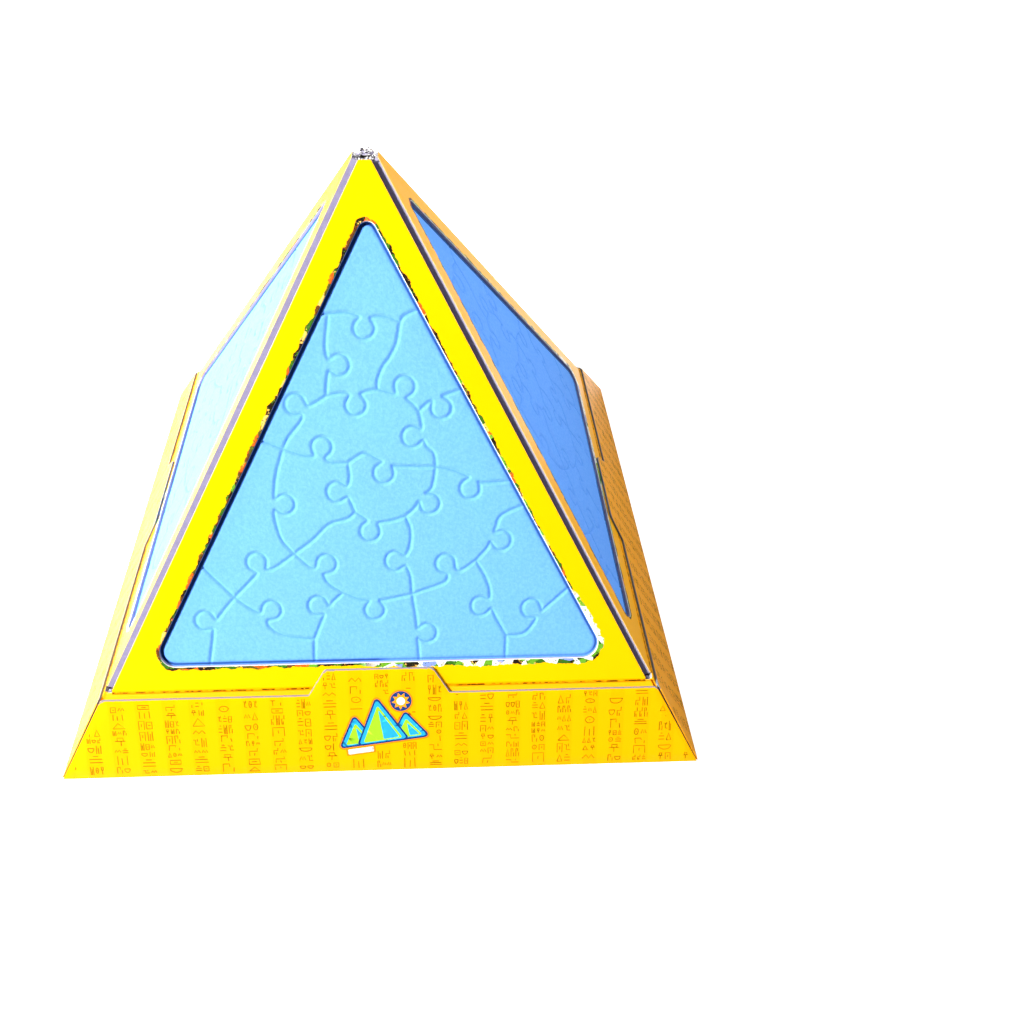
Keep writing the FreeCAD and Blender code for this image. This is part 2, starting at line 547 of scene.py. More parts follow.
YELLOW = (0.97, 0.455, 0.0)
YELLOW_DEEP = (0.96, 0.425, 0.0)
FLECK_ORANGE = (0.90, 0.33, 0.0)
# Painted shade: deeper orange along the hinge fold, standing in for the shade in the crease.
CREASE_SHADE_ORANGE = (0.72, 0.23, 0.0)
CRACK_BROWN = (0.10, 0.03, 0.0)
SKIRT_YELLOW = (0.96, 0.39, 0.0)
SKIRT_YELLOW_DEEP = (0.94, 0.385, 0.0)
SKIRT_COLUMN = (0.92, 0.34, 0.0)
SKIRT_FLECK = (0.86, 0.26, 0.0)
PAPER_WHITE = (0.82, 0.80, 0.76)
PAPER_CREAM = (0.80, 0.70, 0.48)
CARD_GREY = (0.13, 0.18, 0.22)
PLAIN_CARD = ((0.30, 0.30, 0.31), (0.42, 0.42, 0.42))
TRAY_BLUE = (0.145, 0.365, 0.93)
TRAY_BLUE_DARK = (0.115, 0.315, 0.89)
TRAY_CLOUD = (0.12, 0.40, 0.92)
TRAY_PALE = (0.20, 0.48, 0.93)
# Painted shade: this colour darkens the paper down in the pressed jigsaw grooves.
TRAY_GROOVE_SHADE = (0.035, 0.20, 0.66)
# Painted shade: near-black navy along the moat, where the frame's edge casts its shadow.
TRAY_MOAT_SHADE = (0.006, 0.03, 0.16)
BOARD_GREY = (0.36, 0.335, 0.45)
BOARD_DARK = (0.21, 0.185, 0.29)
BOARD_SPECK = (0.10, 0.08, 0.10)
BOARD_FIBRE = (0.62, 0.60, 0.64)
TORN_DARK, TORN_WHITE = (0.05, 0.04, 0.06), (0.86, 0.85, 0.84)
LEAF, DARK_LEAF, OLIVE = (0.12, 0.33, 0.02), (0.03, 0.12, 0.01), (0.09, 0.08, 0.01)
BLACK, BROWN, RED = (0.012, 0.008, 0.006), (0.11, 0.035, 0.01), (0.62, 0.09, 0.01)
CREAM, SKY, SAND = (0.80, 0.78, 0.70), (0.20, 0.27, 0.62), (0.78, 0.46, 0.10)
INKS = {
    "glyph_ink": (0.22, 0.12, 0.0),
    "halo_ink": (0.80, 0.22, 0.005),
    "navy_ink": (0.008, 0.04, 0.16),
    "cyan_ink": (0.02, 0.33, 0.62),
    "lime_ink": (0.30, 0.62, 0.02),
    "sun_ink": (0.95, 0.30, 0.01),
    "white_ink": (0.80, 0.76, 0.62),
}
VARNISH_TINT = (1.0, 0.55, 0.02)
VARNISH_SPECULAR = 0.11


def varnished(n, tone):
    """The tone under varnish whose gloss varies a little over the sheet."""
    roughness = n.math("ADD", n.math("MULTIPLY", n.noise(9, 2), 0.16), 0.28)
    return n.finish(tone, roughness, VARNISH_SPECULAR, VARNISH_TINT, coat=0.2)


def paper_tooth(n, size, depth_mm):
    """Fine fibre and a slow waviness of this size, pressed into the surface."""
    n.bump(n.math("ADD", n.noise(0.5, 4, 0.65), n.math("MULTIPLY", n.noise(size, 2), 0.8)), depth_mm)


def worn_paper(n, colour, edge_name, reach, paper):
    """Bare paper showing through the print along a cut edge, in an uneven line."""
    ragged = n.math("MULTIPLY", n.noise(1.6, 4, 0.7), 2 * reach)
    share = n.step(n.math("SUBTRACT", n.number(edge_name), ragged), 0.05, -0.12)
    return n.stain(colour, share, 0.9, paper)


def art_band(n, colour):
    """Slivers of the jigsaw's picture that run out onto the frame round the window.

    The vertex number "art" is the distance past the band's outline, and "low" is 1 along the window's lower
    right, where the picture is paler and reaches a millimetre further.
    """
    pick = n.cell_pick(4.2)
    beside = n.choose(pick, [BLACK, DARK_LEAF, OLIVE, BROWN, LEAF, RED, BLACK, DARK_LEAF, BROWN, SAND])
    below = n.choose(pick, [CREAM, LEAF, CREAM, DARK_LEAF, CREAM, LEAF, SKY, CREAM, BLACK, CREAM])
    small = n.choose(n.cell_pick(1.7), [DARK_LEAF, LEAF, BLACK, OLIVE, SAND])
    picture = n.mix(n.number("low"), beside, below)
    picture = n.mix(n.step(n.noise(0.9, 3, 0.7), 0.54, 0.62), picture, small)
    wander = n.math("MULTIPLY", n.math("SUBTRACT", n.noise(6.0, 4, 0.65), 0.5), 4.4)
    beyond = n.math("SUBTRACT", n.math("ADD", n.number("art"), wander), n.number("low"))
    return n.mix(n.step(beyond, 0.10, -0.12), colour, picture)


def frame_print():
    """Varnished yellow print on the panels, with the picture band round the window."""
    n = Nodes("frame_print")
    tone = n.mix(n.noise(38, 2), YELLOW, YELLOW_DEEP)
    tone = n.stain(tone, n.step(n.noise(0.55, 3, 0.7), 0.60, 0.78), 0.10, FLECK_ORANGE)
    tone = art_band(n, tone)
    tone = worn_paper(n, tone, "edge", 0.08, PAPER_CREAM)
    # Bare white paper along the window's cut, narrowed on the window's left as painted shade.
    tone = worn_paper(n, tone, "cut", 0.20, PAPER_WHITE)
    paper_tooth(n, 6, 0.03)
    return varnished(n, tone)


def skirt_print():
    """Varnished yellow print on the skirt, with faint darker columns behind the glyphs."""
    n = Nodes("skirt_print")
    tone = n.mix(n.noise(30, 2), SKIRT_YELLOW, SKIRT_YELLOW_DEEP)
    phase = n.math("PINGPONG", n.number("along"), GLYPH_PITCH / 2)
    column = n.step(phase, GLYPH_COLUMN / 2 + 0.25, GLYPH_COLUMN / 2 - 0.25)
    tone = n.stain(tone, column, 0.55, SKIRT_COLUMN)
    tone = n.stain(tone, n.step(n.noise(0.6, 3, 0.7), 0.60, 0.78), 0.12, SKIRT_FLECK)
    tone = worn_paper(n, tone, "edge", 0.45, CARD_GREY)
    paper_tooth(n, 7, 0.03)
    return varnished(n, tone)


def crease_print():
    """The same print where it is folded over the hinge crease: cracked, with brown in the cracks, and a
    painted shade of deeper orange along the fold.
    """
    n = Nodes("crease_print")
    tone = n.mix(n.noise(38, 2), YELLOW, YELLOW_DEEP)
    from_fold = n.math("ABSOLUTE", n.number("fold"))
    # Painted shade along the fold.
    tone = n.stain(tone, n.step(from_fold, 1.1, 0.3), 0.8, CREASE_SHADE_ORANGE)
    crack = n.math("MULTIPLY", n.step(from_fold, 0.5, 0.15), n.step(n.noise(3.5, 4, 0.7), 0.42, 0.60))
    tone = n.mix(crack, tone, CRACK_BROWN)
    n.bump(n.noise(0.5, 4, 0.65), 0.04)
    return n.finish(tone, 0.45, VARNISH_SPECULAR, VARNISH_TINT)


def grey_board(name="grey_board", colour=BOARD_GREY, dark=BOARD_DARK):
    """Pulp board with fine fibres and a few dark specks."""
    n = Nodes(name)
    tone = n.mix(n.noise(2.4, 5, 0.7), dark, colour)
    tone = n.stain(tone, n.step(n.noise(0.35, 2, 0.6), 0.66, 0.74), 0.6, BOARD_SPECK)
    tone = n.stain(tone, n.step(n.noise(0.5, 3, 0.7, 1.5), 0.60, 0.75), 0.5, BOARD_FIBRE)
    n.bump(n.math("ADD", n.noise(0.35, 4, 0.7), n.noise(1.6, 3)), 0.10)
    return n.finish(tone, 0.92, 0.15)


def paper_core(name="paper_core", dark=(0.30, 0.25, 0.16), light=(0.42, 0.35, 0.23)):
    """Bare paper or card, on a cut edge or underneath."""
    n = Nodes(name)
    tone = n.mix(n.noise(1.2, 4, 0.7), dark, light)
    n.bump(n.noise(0.3, 4, 0.7), 0.06)
    return n.finish(tone, 0.9, 0.15)


def collar_print():
    """Collar card: printed like the skirt on its outer face and plain card inside."""
    n = Nodes("collar_print")
    outward = n.vector_math("DOT_PRODUCT", n.node("NewGeometry").outputs["Normal"], n.place)
    plain = n.mix(n.noise(1.2, 4, 0.7), *PLAIN_CARD)
    printed_side = n.mix(n.noise(30, 2), SKIRT_YELLOW, YELLOW_DEEP)
    n.bump(n.noise(0.5, 4, 0.65), 0.04)
    return n.finish(n.mix(n.step(outward, 0.0, 0.01), plain, printed_side), 0.55, 0.2)


def torn_paper():
    """Frayed white paper with grey board pulp clinging to it."""
    n = Nodes("torn_paper")
    tone = n.mix(n.step(n.noise(0.9, 3, 0.7), 0.42, 0.56), TORN_DARK, TORN_WHITE)
    n.bump(n.noise(0.3, 4, 0.7), 0.1)
    return n.finish(tone, 0.9, 0.1)


def tray_paper():
    """Matt sky-blue paper, mottled by the pulp under it, with painted shade down in the grooves and along
    the moat.
    """
    n = Nodes("tray_paper")
    tone = n.mix(n.step(n.noise(1.15, 4, 0.62), 0.34, 0.68), TRAY_BLUE_DARK, TRAY_BLUE)
    tone = n.stain(tone, n.noise(14, 2), 0.3, TRAY_CLOUD)
    tone = n.stain(tone, n.step(n.noise(0.7, 3, 0.6), 0.58, 0.74), 0.2, TRAY_PALE)
    # Painted shade in the grooves, following the groove's depth.
    tone = n.stain(tone, n.step(n.number("groove"), 0.6, 1.0), 0.3, TRAY_GROOVE_SHADE)
    # Painted shade along the moat, following the moat number.
    tone = n.mix(n.step(n.number("moat"), 0.15, 0.8), tone, TRAY_MOAT_SHADE)
    n.bump(n.math("ADD", n.noise(0.8, 3, 0.6), n.math("MULTIPLY", n.noise(1.9, 2), 1.2)), 0.09)
    return n.finish(tone, 0.8, 0.04)


def ink(name, colour):
    """Flat printed ink with a little unevenness."""
    n = Nodes(name)
    dark = tuple(0.7 * channel for channel in colour)
    tone = n.stain(colour, n.noise(1.4, 4, 0.7), 0.3, dark)
    n.bump(n.noise(0.5, 4, 0.65), 0.02)
    return n.finish(tone, 0.5, 0.12, tuple(0.2 + 0.8 * channel for channel in colour))


PLAIN_MAKERS = (
    frame_print, skirt_print, crease_print, grey_board, paper_core, tray_paper, collar_print, torn_paper,
)
MATERIALS = {make.__name__: make() for make in PLAIN_MAKERS}
MATERIALS["inner_board"] = grey_board("inner_board", (0.26, 0.245, 0.225), (0.17, 0.16, 0.15))
MATERIALS["card_core"] = paper_core("card_core", (0.10, 0.13, 0.16), (0.18, 0.22, 0.26))
MATERIALS["inner_card"] = paper_core("inner_card", (0.25, 0.25, 0.26), (0.36, 0.36, 0.37))
MATERIALS.update((name, ink(name, colour)) for name, colour in INKS.items())


# ---------------------------------------------------------------- jigsaw pattern
# Places where seams meet, on a panel seen square on.
JUNCTIONS = {
    "top_left": (-15, 144), "top_right": (11, 141), "upper_right": (2, 117), "upper_left": (-17, 115),
    "ring_right": (17, 109), "right_hub": (23, 88), "left_low": (-32, 55), "ring_left": (-10, 90),
    "centre_low": (-8, 71), "centre_right": (11, 69), "low_right": (13, 38), "far_right": (38, 51),
    "low_centre": (-14, 39), "right_foot": (50, 20), "far_left": (-56, 38), "left_foot": (-26, 20),
}
# Each seam runs through junctions, plain points (x, u) and knob centres (x, u, "knob"), in millimetres.
SEAMS = [
    [(-25, 144), "top_left", (-9, 144.5), (-2.2, 139, "knob"), (5, 143), "top_right"],
    [(24, 147), (14, 144), "top_right", (9.5, 134), (7, 129), (4, 125), (2, 120), "upper_right"],
    ["top_left", (-16.5, 133), (-11.8, 126, "knob"), (-16.5, 120), "upper_left"],
    [(-34, 95.5), (-31.5, 100), (-26.5, 106), (-28.5, 112, "knob"), (-23, 111.5), (-20, 113), "upper_left"],
    ["upper_left", (-11, 116), (-6.2, 111.5, "knob"), (-2, 116.5), "upper_right"],
    ["upper_right", (7, 115.5), (12, 118, "knob"), (14, 112.5), "ring_right"],
    ["ring_right", (18, 104.5), (14.5, 99.5, "knob"), (19.5, 96), (22.5, 93), "right_hub"],
    ["ring_right", (20.5, 112), (25.5, 110, "knob"), (27.5, 115), (40, 119)],
    [(-34, 95.5), (-37, 86), (-38, 80), (-34.5, 74.5, "knob"), (-38.5, 69), (-36.5, 61), "left_low"],
    [(-50, 102), (-34, 95.5), (-25, 92.5), (-19.5, 96, "knob"), (-16, 90), "ring_left"],
    ["ring_left", (-4, 93.5), (0.5, 91.5), (3.4, 86, "knob"), (8, 88.5), "right_hub"],
    ["ring_left", (-9.5, 84), (-14.5, 79, "knob"), (-9.5, 75), "centre_low"],
    ["centre_low", (-5, 69), (-2.5, 63.5, "knob"), (2, 67), (6, 67.5), "centre_right"],
    ["right_hub", (29.5, 86.5), (33, 85), (36, 79.5, "knob"), (41, 81.5), (60, 83)],
    ["right_hub", (21.5, 80), (20.5, 74, "knob"), (15, 72.5), "centre_right"],
    ["centre_right", (13, 64), (12.5, 57), (6.8, 51.5, "knob"), (12.5, 45.5), "low_right"],
    ["low_right", (14.5, 27), (18.5, 21.8, "knob"), (15, 16), (15.4, 6)],
    [(66, 76), (49, 69.5), (46, 64.5), (48, 59, "knob"), (42.5, 56), "far_right"],
    ["far_right", (32, 47), (26.3, 50, "knob"), (26.5, 43), (22, 41), "low_right"],
    ["low_right", (3.5, 36), (-1.8, 31.8, "knob"), (-7, 36), "low_centre"],
    ["far_right", (41.5, 45), (43.5, 39), (40, 32.5, "knob"), (46, 27.5), "right_foot"],
    ["right_foot", (49.5, 6)],
    [(82, 46), (66, 31.5), (60, 31, "knob"), (61, 25), (57, 20.5), "right_foot"],
    [
        (-76, 60), (-61.5, 44), "far_left", (-49, 32.5), (-42, 32.5, "knob"),
        (-43.5, 26), (-38, 22), "left_foot",
    ],
    ["far_left", (-48, 46), (-46.5, 52, "knob"), (-40, 49.5), "left_low"],
    ["left_low", (-24.5, 60.5), (-18, 66.5), (-11, 68.5), "centre_low"],
    ["left_low", (-26, 49.5), (-19.8, 50.8, "knob"), (-19.5, 43), "low_centre"],
    ["low_centre", (-17.5, 36), (-23.8, 34, "knob"), (-23, 27), "left_foot"],
    ["left_foot", (-26.5, 6)],
    ["far_left", (-60, 33.5), (-68, 28.8, "knob"), (-65.5, 22), (-68.5, 6)],
]
KNOB_RADIUS = 3.9
KNOB_SPREAD = math.radians(142)
NECK_HALF = 1.9
NECK_REACH = KNOB_RADIUS * 0.98
SEAM_SOFTNESS = 0.75
SEAM_STEP = 0.12


def smooth_path(points, step):
    """Even points along a Catmull-Rom curve through these points."""
    points = [points[0]] + list(points) + [points[-1]]
    path = []
    for a, b, c, d in zip(points, points[1:], points[2:], points[3:]):
        a, b, c, d = (np.array(p, float) for p in (a, b, c, d))
        count = max(2, math.ceil(float(np.hypot(*(c - b))) / step))
        for k in range(count):
            t = k / count
            path.append(0.5 * (
                2 * b + (c - a) * t + (2 * a - 5 * b + 4 * c - d) * t * t
                + (3 * b - a - 3 * c + d) * t ** 3
            ))
    path.append(np.array(points[-1], float))
    return np.array(path)


def knob_points(before, centre, after):
    """Guide points of a knob: in through the neck, round the head and out again."""
    before, centre, after = (np.array(p, float) for p in (before, centre, after))
    along = (after - before) / np.hypot(*(after - before))
    foot = before + along * float((centre - before) @ along)
    out = (centre - foot) / max(np.hypot(*(centre - foot)), 1e-6)
    guide = [centre - out * NECK_REACH - along * NECK_HALF]
    for k in range(7):
        angle = -KNOB_SPREAD + 2 * KNOB_SPREAD * k / 6
        guide.append(centre + KNOB_RADIUS * (out * math.cos(angle) + along * math.sin(angle)))
    guide.append(centre - out * NECK_REACH + along * NECK_HALF)
    return guide


def seam_path(seam):
    """Even points along a seam, with its sharp turns eased."""
    places = [JUNCTIONS[item] if isinstance(item, str) else item for item in seam]
    guide = []
    for i, place in enumerate(places):
        if len(place) == 3:
            guide += knob_points(places[i - 1][:2], place[:2], places[i + 1][:2])
        else:
            guide.append(np.array(place, float))
    path = smooth_path(guide, SEAM_STEP)
    for _ in range(round(2 * (SEAM_SOFTNESS / SEAM_STEP) ** 2)):
        path[1:-1] = (path[:-2] + 2 * path[1:-1] + path[2:]) / 4
    return path


def seam_distance(points):
    """Distance of each point to the nearest seam of the jigsaw."""
    paths = np.concatenate([seam_path(seam) for seam in SEAMS])
    tree = KDTree(len(paths))
    for i, p in enumerate(paths):
        tree.insert((p[0], p[1], 0), i)
    tree.balance()
    return np.array([tree.find((p[0], p[1], 0))[2] for p in points])


# ---------------------------------------------------------------- one tray panel
def make_face_print():
    """Yellow printed paper, curved over the board's rounded edges."""
    outlines = [panel_outline(0.7), window_outline(0.7)]

    def top(points, edge):
        return -round_over(edge, EDGE_ROUND)

    def bottom(points, edge):
        return top(points, edge) - FACE_SHEET

    mesh = plate("face_print", outlines, top, bottom, rims=(0.04, 0.12, 0.24, 0.4), spacing=4.0)
    flat = mesh_points(mesh)[:, :2]
    x, above_rail = flat[:, 0], flat[:, 1] - BOTTOM_RAIL
    art = window_outline(0.7, SIDE_RAIL - ART_SIDE, BOTTOM_RAIL - ART_BOTTOM, ART_CORNER)
    give(mesh, "art", signed_distance(flat, art))
    give(mesh, "edge", distance(flat, panel_outline(0.7)))
    # The white line of bare paper along the window's cut is narrower on its left, away from the key light:
    # painted shade.
    left_cut_shade = 0.42 * np.clip(-x / 6, 0, 1) * np.clip((above_rail - 2) / 6, 0, 1)
    give(mesh, "cut", distance(flat, window_outline(0.7)) + left_cut_shade)
    # The pale part of the picture lies below the window's right half and climbs round its corner.
    climb = np.interp(x, (45, 75), (3, 28))
    give(mesh, "low", np.clip((climb - above_rail) / 2, 0, 1) * np.clip(x / 9 + 0.9, 0, 1))
    return mesh


def make_frame_board():
    """Grey board frame under the print, with rough cut edges."""
    def top(points, edge):
        return -FACE_SHEET - GLUE_GAP - round_over(edge, EDGE_ROUND)

    outlines = [panel_outline(0.5), window_outline(0.6)]
    rims = (0.06, 0.2, 0.45)
    return plate("frame_board", outlines, top, TRAY_LEVEL + GLUE_GAP, rims, wall_rows=4, rough=0.07, seed=3)


def make_tray():
    """Blue tray paper with the jigsaw's outlines pressed into it, and a moat along the window's edge."""
    window = window_outline(1.0)
    pressed = window_outline(1.5, SIDE_RAIL - TRAY_TUCK, BOTTOM_RAIL - TRAY_TUCK, TRAY_TUCK)
    found = {}

    def top(points, edge):
        groove, moat = np.zeros(len(points)), np.zeros(len(points))
        near = inside(points, pressed)
        groove[near] = np.exp(-(seam_distance(points[near]) / GROOVE_WIDTH) ** 2)
        moat[near] = np.exp(-((signed_distance(points[near], window) + MOAT_INSET) / MOAT_WIDTH) ** 2)
        # The moat is deeper and its painted shade darker on the window's left, where the frame's shadow
        # falls. Both are weaker to the right and along the bottom.
        moat *= np.interp(points[:, 0], (-2, 4), (1, 0.7))
        moat *= np.interp(points[:, 1] - BOTTOM_RAIL, (0.8, 4), (0.7, 1))
        found["groove"], found["moat"] = groove, moat
        return TRAY_LEVEL - np.maximum(GROOVE_DEPTH * groove, MOAT_DEPTH * moat)

    spacing = 0.5
    mesh = plate("tray", [panel_outline(1.0, 0.02)], top, TRAY_LEVEL - TRAY_SHEET, spacing=spacing)
    for name, values in found.items():
        whole = np.zeros(len(mesh.vertices))
        whole[:len(values)] = values
        give(mesh, name, whole)
    return mesh


def make_backing_board():
    """Grey board behind the tray."""
    def bottom(points, edge):
        return BACKING_LEVEL - BACKING_BOARD + round_over(edge, 0.12)

    outlines, top = [panel_outline(0.5)], BACKING_LEVEL - GLUE_GAP
    return plate("backing", outlines, top, bottom, (0.05, 0.14), 6.0, wall_rows=3, rough=0.06, seed=8)


def make_crease():
    """Printed paper over the hinge, from the collar's bead to the panel's face, flat behind the tongue."""
    half, low, high = PANEL_HALF_LOW - 0.5, -0.8, PANEL_LOW + 1.0
    strip = np.array([(-half, low), (half, low), (half, high), (-half, high)])

    def top(points, edge):
        beside_tongue = np.clip(np.abs(points[:, 0] - TONGUE_SHIFT) - TONGUE_BASE_WIDTH / 2 - 1.2, 0, 1)
        return 0.04 + 0.33 * beside_tongue * np.exp(-(points[:, 1] / 0.42) ** 2)

    def bottom(points, edge):
        return top(points, edge) - 0.03

    mesh = plate("crease", [resample(strip, 0.8)], top, bottom, spacing=0.2)
    give(mesh, "fold", mesh_points(mesh)[:, 1] - 0.1)
    return mesh


def make_tip_fibres(seed):
    """Torn paper and board fibres sticking up from the panel's tip."""
    draw = random.Random(seed)
    vertices, faces = [], []
    for _ in range(TIP_FIBRES):
        x = draw.uniform(-0.5, 0.5) * (TIP_WIDTH - 0.4)
        level = draw.uniform(-2.4, -0.2)
        length = draw.uniform(0.4, 1.3)
        lean, curl = draw.uniform(-0.7, 0.7), draw.uniform(-1.1, 0.7)
        path, levels = [], []
        for share in np.arange(6) / 5:
            path.append((x + lean * share * length, PANEL_HIGH - 0.25 + share * length))
            levels.append(level + curl * share * share)
        add_ribbon(vertices, faces, path, draw.uniform(0.3, 0.9), levels, draw.uniform(0.08, 0.25))
    return new_mesh("tip_fibres", vertices, faces)


# ---------------------------------------------------------------- the skirt
def make_flap():
    """Sloping skirt wall with its tongue, printed outside, and mitred towards its neighbours."""
    half = FLAP_CARD / 2

    def top(points, edge):
        return half - round_over(edge, 0.3)

    def bottom(points, edge):
        return round_over(edge, 0.15) - half

    outline, rims = flap_outline(0.6), (0.05, 0.15, 0.32)
    mesh = plate("flap", [outline], top, bottom, rims, 5.0, wall_rows=3, rough=0.05, seed=5)
    flat = mesh_points(mesh)
    give(mesh, "along", flat[:, 0])
    # Only the upper edge and the tongue are worn.
    below_top = np.clip(FLAP_TOP - 1.5 - flat[:, 1], 0, 5)
    give(mesh, "edge", distance(flat[:, :2], outline) + below_top)
    # The printed side is wider, so that neighbours meet in a mitre.
    half_width = FLAP_HALF_LOW - flat[:, 1] * COS
    flat[:, 0] *= 1 + (flat[:, 2] + half) * SIN / half_width
    mesh.vertices.foreach_set("co", flat.ravel())
    mesh.update()
    return mesh


def arc(centre, radii, start, end, count):
    """Points along part of an upright ellipse."""
    angles = np.linspace(start, end, count)
    return [(centre[0] + radii[0] * math.cos(a), centre[1] + radii[1] * math.sin(a)) for a in angles]


# Strokes of each abstract mark, as lists of points in a unit square.
GLYPHS = [
    [[(0.05, 0.2), (0.95, 0.2)], [(0.05, 0.55), (0.95, 0.55)], [(0.3, 0.85), (0.7, 0.85)]],
    [[(0.05, 0.3), (0.28, 0.7), (0.5, 0.3), (0.72, 0.7), (0.95, 0.3)]],
    [[(0.1, 0.1), (0.9, 0.1), (0.9, 0.8), (0.1, 0.8), (0.1, 0.1)], [(0.35, 0.45), (0.65, 0.45)]],
    [arc((0.5, 0.5), (0.32, 0.32), 0, math.tau, 11), [(0.5, 0.44), (0.5, 0.56)]],
    [arc((0.5, 0.65), (0.45, 0.5), math.pi, math.tau, 8), [(0.05, 0.65), (0.95, 0.65)]],
    [[(0.1, 0.1), (0.5, 0.85), (0.9, 0.1), (0.1, 0.1)]],
    [[(0.15, 0.05), (0.15, 0.9)], [(0.15, 0.9), (0.6, 0.9), (0.6, 0.6)], [(0.85, 0.05), (0.85, 0.5)]],
    [[(0.2, 0.05), (0.2, 0.6), (0.8, 0.6), (0.8, 0.95)], [(0.55, 0.05), (0.55, 0.35)]],
    [
        [(0.5, 0.05), (0.5, 0.55)], [(0.15, 0.55), (0.85, 0.55)],
        [(0.3, 0.55), (0.3, 0.9), (0.7, 0.9), (0.7, 0.55)],
    ],
    [[(0.05, 0.75), (0.4, 0.75), (0.4, 0.25), (0.95, 0.25)], [(0.7, 0.6), (0.7, 0.85)]],
    [[(0.15, 0.0), (0.15, 0.95)], [(0.5, 0.0), (0.5, 0.7)], [(0.85, 0.0), (0.85, 0.95)]],
    [[(0.1, 0.0), (0.1, 0.9), (0.9, 0.9), (0.9, 0.0)], [(0.5, 0.3), (0.5, 0.6)]],
]


def ribbon(points, width):
    """Left and right edge points of a ribbon along a stroke."""
    points = np.array(points, float)
    along = unit(np.gradient(points, axis=0))
    side = np.column_stack([-along[:, 1], along[:, 0]]) * width / 2
    return points + side, points - side


def make_glyphs(seed, clear):
    """Columns of small printed marks over a flap, kept out of the area where clear is true."""
    draw = random.Random(seed)
    outline = flap_outline(2.0)
    vertices, faces = [], []
    columns = int(FLAP_HALF_LOW / GLYPH_PITCH)
    for column in range(-columns, columns + 1):
        u = draw.uniform(0.8, 1.6)
        while u < FLAP_TONGUE_TOP - 2:
            height = draw.uniform(2.2, 4.6)
            marks = draw.choice((1, 1, 2, 2, 3))
            left = column * GLYPH_PITCH - GLYPH_COLUMN / 2
            width = (GLYPH_COLUMN - GLYPH_GAP * (marks - 1)) / marks
            for mark in range(marks):
                corner = (left + mark * (width + GLYPH_GAP), u)
                add_glyph(vertices, faces, draw, corner, (width, height), clear, outline)
            u += height + draw.uniform(0.45, 0.8)
    return new_mesh("glyphs", vertices, faces)


def add_glyph(vertices, faces, draw, corner, size, clear, outline):
    """Append the strokes of one mark that lie well inside the flap and clear of the emblem."""
    level = FLAP_CARD / 2 + INK_LAYER
    strokes = [[(x + draw.uniform(-0.04, 0.04), y) for x, y in stroke] for stroke in draw.choice(GLYPHS)]
    for stroke in strokes:
        path = np.array([(corner[0] + x * size[0], corner[1] + y * size[1]) for x, y in stroke])
        if clear(path).any() or (signed_distance(path, outline) > -0.8).any():
            continue
        add_ribbon(vertices, faces, path, draw.uniform(0.3, 0.42), [level] * len(path), INK_SUNK)


def add_ribbon(vertices, faces, path, width, levels, thickness):
    """Append a closed flat ribbon along a path whose points lie at these levels."""
    left, right = ribbon(path, width)
    first = len(vertices)
    for a, b, level in zip(left, right, levels):
        vertices += [(*a, level), (*b, level), (*b, level - thickness), (*a, level - thickness)]
    for k in range(len(left) - 1):
        here, there = first + 4 * k, first + 4 * (k + 1)
        for i in range(4):
            j = (i + 1) % 4
            faces.append((here + i, here + j, there + j, there + i))
    last = first + 4 * (len(left) - 1)
    faces.append((first + 3, first + 2, first + 1, first))
    faces.append((last, last + 1, last + 2, last + 3))


# ---------------------------------------------------------------- emblem on the front tongue
# Each peak: centre, half width, height.
PEAKS = {"left": (-11.0, 6.2, 10.6), "right": (9.6, 6.6, 9.6), "middle": (-1.0, 9.0, 17.0)}
PEAK_FOOT = 13.2
SUN = (8.6, 29.0)
SUN_RAYS = 9
BANNER = (-10.5, 10.0)


def star(inner, outer, points):
    """Outline that swings between two radii; a disc when they are equal."""
    outline = []
    for k in range(points * 2):
        radius = outer if k % 2 else inner
        angle = k * math.pi / points
        outline.append((radius * math.cos(angle), radius * math.sin(angle)))
    return outline


def disc(radius):
    return star(radius, radius, 12)


def slab(half_width, half_height):
    x, u = half_width, half_height
    return [(-x, -u), (x, -u), (x, u), (-x, u)]


def pyramid(half, height, border=0.0):
    """Triangle on its base, widened all round by a border."""
    slant = math.hypot(half, height)
    side = border * slant / height + border * half / height
    top = border * slant / half
    return [(-half - side, -border), (half + side, -border), (0, height + top)]


def at(x, u, corners):
    """Corners moved to a place on the emblem, which is printed slightly askew."""
    cos, sin = math.cos(EMBLEM_TURN), math.sin(EMBLEM_TURN)
    placed = [(cx + x - EMBLEM_CENTRE[0], cu + u - EMBLEM_CENTRE[1]) for cx, cu in corners]
    return [(EMBLEM_CENTRE[0] + a * cos - b * sin, EMBLEM_CENTRE[1] + a * sin + b * cos) for a, b in placed]


